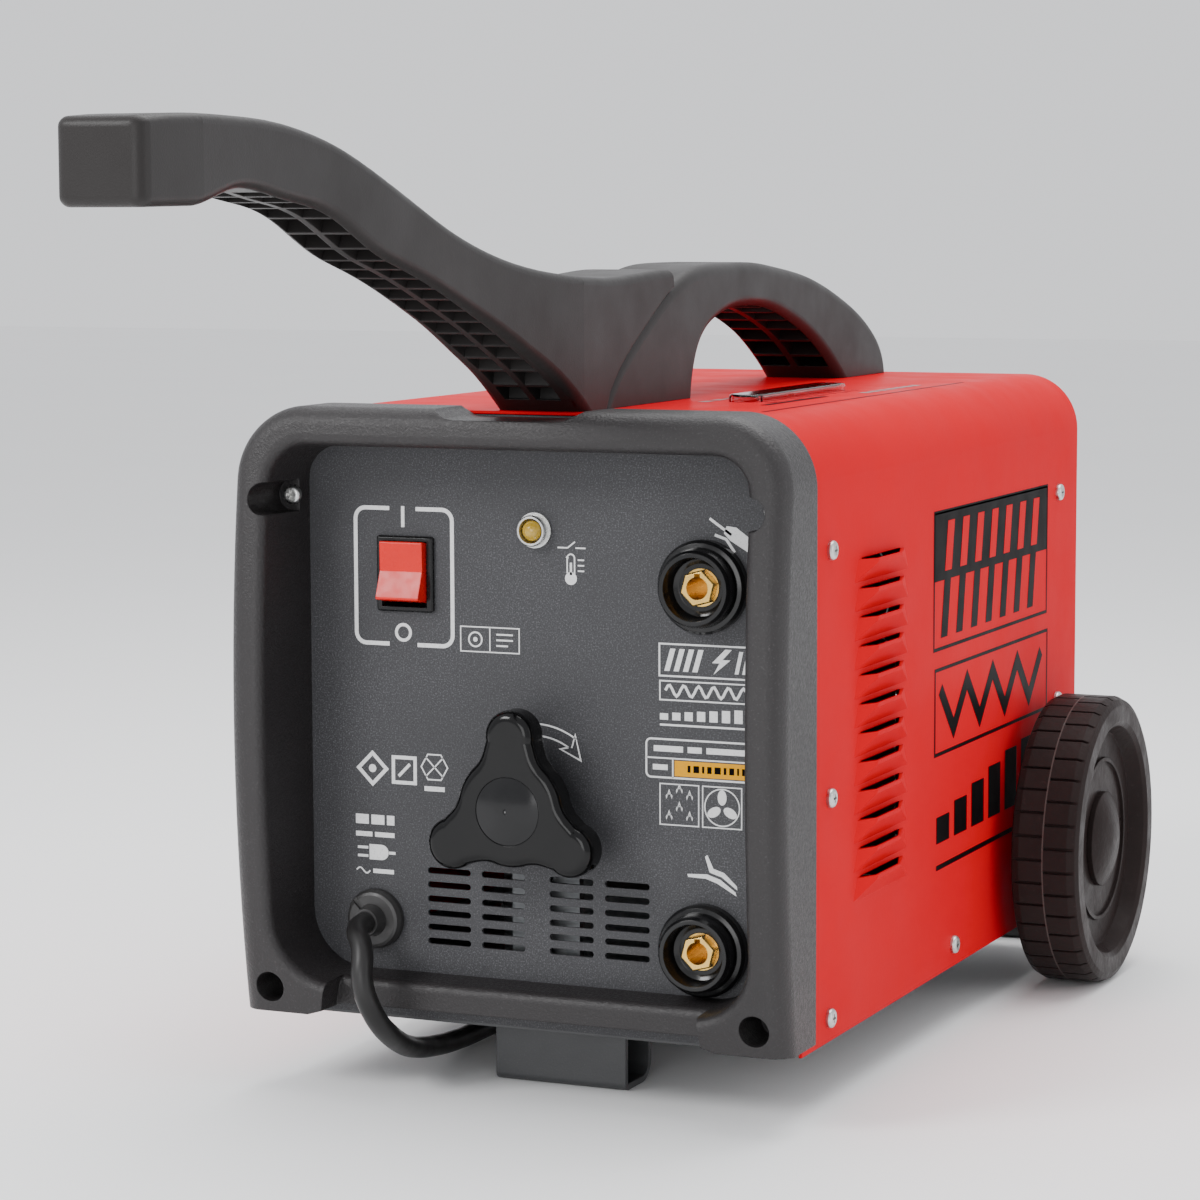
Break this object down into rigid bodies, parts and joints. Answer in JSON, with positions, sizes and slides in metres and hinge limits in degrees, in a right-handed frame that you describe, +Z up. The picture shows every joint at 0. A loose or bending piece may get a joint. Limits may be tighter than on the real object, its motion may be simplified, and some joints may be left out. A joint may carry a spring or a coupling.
{
  "type": "stick welder",
  "caption": "Wheeled transformer stick welder with a current knob, rocker switch, lamp, cable sockets, arch handle, tow arm and mains cord.",
  "frame": {"origin": "on the floor, under the middle of the machine without its cord", "axes": "+Z up, front panel towards -Y, +X to the right seen from the front"},
  "size_m": [0.31, 0.838, 0.3919],
  "materials": {
    "red_paint": "satin powder coat",
    "panel_paint": "fine speckled powder coat",
    "black_moulding": "grained",
    "handle_plastic": "satin",
    "zinc": "zinc plated",
    "galvanised": "galvanised sheet",
    "foot_coat": "powder coat",
    "wheel_plastic": "semi-gloss",
    "knob_plastic": "gloss",
    "steel": "turned",
    "core_steel": "varnished laminations",
    "winding": "varnished winding",
    "brass": "machined",
    "socket_plastic": "gloss",
    "switch_black": "gloss",
    "switch_red": "gloss",
    "amber": "clear amber",
    "clear_lens": "smoked clear",
    "rubber_black": "matt",
    "gland_plastic": "matt",
    "motor": "plain",
    "fan_plastic": "matt",
    "phenolic": "gloss",
    "lead_insulation": "matt",
    "gloss_plug": "matt"
  },
  "bodies": {
    "chassis": {"axle": "steel", "axle_brackets": "galvanised", "axle_clips": "zinc", "axle_spacers": "zinc", "base_plate": "galvanised", "cable_gland": "gland_plastic", "carry_handle": "handle_plastic", "case_cover": "red_paint", "case_screws": "zinc", "cord_coil": "rubber_black", "cord_run": "rubber_black", "cord_tail": "rubber_black", "core_bolts": "zinc", "core_brackets": "galvanised", "fan_bracket": "galvanised", "fan_motor": "motor", "foot_screws": "zinc", "frame_screws": "zinc", "front_foot": "foot_coat", "front_frame": "black_moulding", "front_panel": "panel_paint", "gland_nut": "gland_plastic", "guide_rods": "steel", "handle_screws": "zinc", "led_holder": "zinc", "led_lens": "amber", "led_nut": "zinc", "mains_leads": "lead_insulation", "plug_body": "gloss_plug", "plug_pins": "brass", "primary_coil": "winding", "rear_bearing": "galvanised", "rear_panel": "panel_paint", "scale_window": "clear_lens", "secondary_coil": "winding", "shaft_bearing": "galvanised", "socket_lower_body": "socket_plastic", "socket_lower_insert": "brass", "socket_nuts": "brass", "socket_upper_body": "socket_plastic", "socket_upper_insert": "brass", "strain_relief": "rubber_black", "switch_housing": "switch_black", "thermostat": "phenolic", "tow_arm": "handle_plastic", "transformer_core": "core_steel", "weld_leads": "lead_insulation"},
    "wheel_right": {"wheel_right": "wheel_plastic", "wheel_cap_right": "wheel_plastic"},
    "wheel_left": {"wheel_left": "wheel_plastic", "wheel_cap_left": "wheel_plastic"},
    "rocker": {"switch_rocker": "switch_red"},
    "knob": {"current_knob": "knob_plastic", "knob_cap": "knob_plastic", "leadscrew": "steel"},
    "shunt": {"magnetic_shunt": "core_steel", "shunt_carriage": "galvanised", "shunt_nut": "brass", "pointer": "switch_red"},
    "fan": {"fan_blades": "fan_plastic"}
  },
  "joints": [
    {"name": "wheel_right_spin", "type": "hinge", "parent": "chassis", "child": "wheel_right", "pos_m": [0.1392, 0.2847, 0.0668], "axis": [1, 0, 0], "continuous": true},
    {"name": "wheel_left_spin", "type": "hinge", "parent": "chassis", "child": "wheel_left", "pos_m": [-0.1392, 0.2847, 0.0668], "axis": [1, 0, 0], "continuous": true},
    {"name": "switch_rock", "type": "hinge", "parent": "chassis", "child": "rocker", "pos_m": [-0.058, -0.021, 0.2124], "axis": [1, 0, 0], "range_deg": [0, 20]},
    {"name": "knob_turn", "type": "hinge", "parent": "chassis", "child": "knob", "pos_m": [0, -0.04, 0.1221], "axis": [0, 1, 0], "range_deg": [-2870, 2870]},
    {"name": "shunt_slide", "type": "slide", "parent": "chassis", "child": "shunt", "axis": [0, 1, 0], "range_m": [-0.0398, 0.0398]},
    {"name": "fan_spin", "type": "hinge", "parent": "chassis", "child": "fan", "pos_m": [0, 0.3275, 0.1766], "axis": [0, 1, 0], "continuous": true}
  ],
  "couplings": [
    {"joint": "knob_turn", "follows": "shunt_slide", "rad_per_m": -1256.6}
  ]
}
